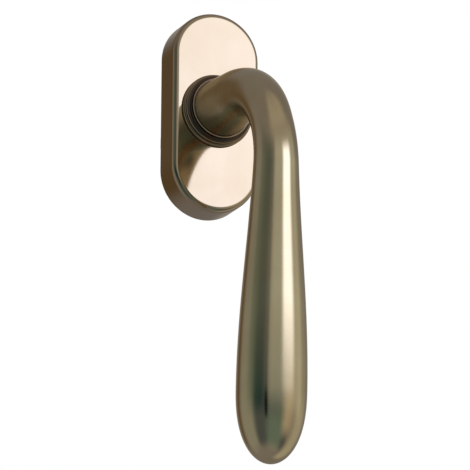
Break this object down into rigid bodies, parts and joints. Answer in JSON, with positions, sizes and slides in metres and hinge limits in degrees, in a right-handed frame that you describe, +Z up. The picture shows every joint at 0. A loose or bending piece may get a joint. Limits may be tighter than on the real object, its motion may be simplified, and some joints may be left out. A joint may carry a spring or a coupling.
{
  "type": "window handle",
  "caption": "Tilt-and-turn window handle: teardrop lever on an oval rose with a ringed collar, square spindle and fixing screws.",
  "frame": {"origin": "on the spindle axis, at the face of the sash that the rose is screwed to", "axes": "+X to the right seen from the room, +Y into the sash along the spindle, +Z up; the grip hangs towards -Z at rest"},
  "size_m": [0.0304, 0.0948, 0.1562],
  "materials": {
    "bronzed_brass_lever": "polished antique bronze",
    "bronzed_brass_rose": "polished antique bronze",
    "bronzed_brass_collar": "dark antique bronze, its crests worn bright",
    "zinc_plated_steel": "bright zinc plate",
    "spring_steel": "oiled spring steel",
    "die_cast_zinc": "raw die casting",
    "white_nylon": "natural"
  },
  "bodies": {
    "base": {"base_plate": "die_cast_zinc", "neck_bush": "white_nylon", "thrust_washer": "spring_steel", "mechanism_cover": "zinc_plated_steel", "cover_rivets": "zinc_plated_steel", "leaf_spring_left": "spring_steel", "leaf_spring_right": "spring_steel", "fixing_screws": "zinc_plated_steel", "cover_clip_upper": "spring_steel", "cover_clip_lower": "spring_steel"},
    "handle": {"lever": "bronzed_brass_lever", "spindle": "zinc_plated_steel", "spindle_pin": "spring_steel", "detent_cam": "spring_steel", "retaining_ring": "spring_steel"},
    "cover": {"rose_cover": "bronzed_brass_rose", "collar_ring": "bronzed_brass_collar", "guide_ring": "white_nylon"}
  },
  "joints": [
    {"name": "lever_turn", "type": "hinge", "parent": "base", "child": "handle", "pos_m": [0, 0, 0], "axis": [0, -1, 0], "range_deg": [0, 180], "deforming": ["leaf_spring_left", "leaf_spring_right"]},
    {"name": "cover_lift", "type": "slide", "parent": "base", "child": "cover", "axis": [0, -1, 0], "range_m": [0, 0.015], "deforming": ["cover_clip_upper", "cover_clip_lower"]}
  ]
}
